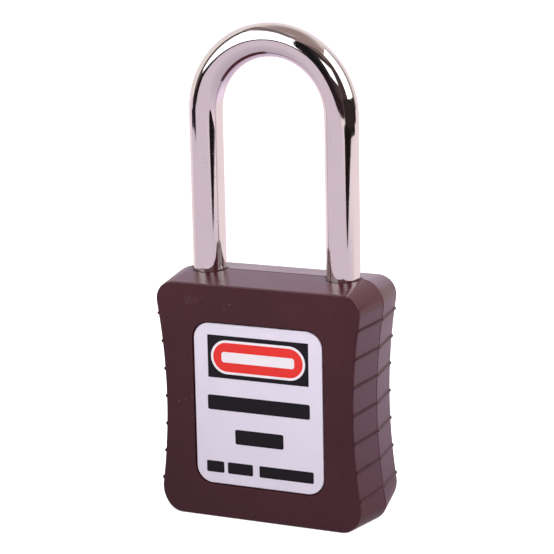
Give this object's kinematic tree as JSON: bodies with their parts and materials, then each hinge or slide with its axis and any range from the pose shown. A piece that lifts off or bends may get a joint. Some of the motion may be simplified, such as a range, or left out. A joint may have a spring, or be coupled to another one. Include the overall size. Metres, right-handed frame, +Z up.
{
  "type": "lockout padlock",
  "caption": "Safety lockout padlock: ribbed, waisted plastic body with a recessed label, slender steel shackle, keyed pin cylinder and sliding latch bolts.",
  "frame": {"origin": "centre of the flat bottom face", "axes": "+Z up through the shackle, +X towards the toe leg, -Y out of the label face"},
  "size_m": [0.0408, 0.0176, 0.0876],
  "materials": {
    "body_plastic": "fine satin moulding, dark maroon",
    "cover_plastic": "satin, near black",
    "label_film": "printed film, lilac white",
    "shackle_chrome": "bright plate over steel",
    "hard_steel": "turned",
    "spring_steel": "drawn wire",
    "housing_zinc": "die cast zinc",
    "plug_brass": "turned brass"
  },
  "bodies": {
    "lock_body": {"body_shell": "body_plastic", "label": "label_film", "bottom_cover": "cover_plastic", "shackle_spring": "spring_steel", "heel_pin": "hard_steel", "cylinder_housing": "housing_zinc", "spring_strip": "plug_brass", "cylinder_screw": "hard_steel", "driver_pin_1": "hard_steel", "driver_pin_2": "hard_steel", "driver_pin_3": "hard_steel", "driver_pin_4": "hard_steel", "driver_pin_5": "hard_steel", "driver_pin_6": "hard_steel", "pin_spring_1": "spring_steel", "pin_spring_2": "spring_steel", "pin_spring_3": "spring_steel", "pin_spring_4": "spring_steel", "pin_spring_5": "spring_steel", "pin_spring_6": "spring_steel"},
    "shackle_body": {"shackle": "shackle_chrome"},
    "plug_body": {"plug": "plug_brass", "plug_clip": "spring_steel", "cam": "housing_zinc", "key_pin_1": "plug_brass", "key_pin_2": "plug_brass", "key_pin_3": "plug_brass", "key_pin_4": "plug_brass", "key_pin_5": "plug_brass", "key_pin_6": "plug_brass"},
    "heel_bolt_body": {"heel_bolt": "hard_steel"},
    "toe_bolt_body": {"toe_bolt": "hard_steel"}
  },
  "joints": [
    {"name": "shackle_lift", "type": "slide", "parent": "lock_body", "child": "shackle_body", "axis": [0, 0, 1], "range_m": [0, 0.0147], "deforming": ["shackle_spring"]},
    {"name": "plug_turn", "type": "hinge", "parent": "lock_body", "child": "plug_body", "pos_m": [0, 0, 0.015], "axis": [0, 0, 1], "range_deg": [-90, 0]},
    {"name": "heel_bolt_slide", "type": "slide", "parent": "lock_body", "child": "heel_bolt_body", "axis": [-1, 0, 0], "range_m": [0, 0.00115]},
    {"name": "toe_bolt_slide", "type": "slide", "parent": "lock_body", "child": "toe_bolt_body", "axis": [1, 0, 0], "range_m": [0, 0.00115]}
  ],
  "couplings": [
    {"joint": "heel_bolt_slide", "follows": "plug_turn", "m_per_rad": -0.00073211},
    {"joint": "toe_bolt_slide", "follows": "plug_turn", "m_per_rad": -0.00073211}
  ]
}
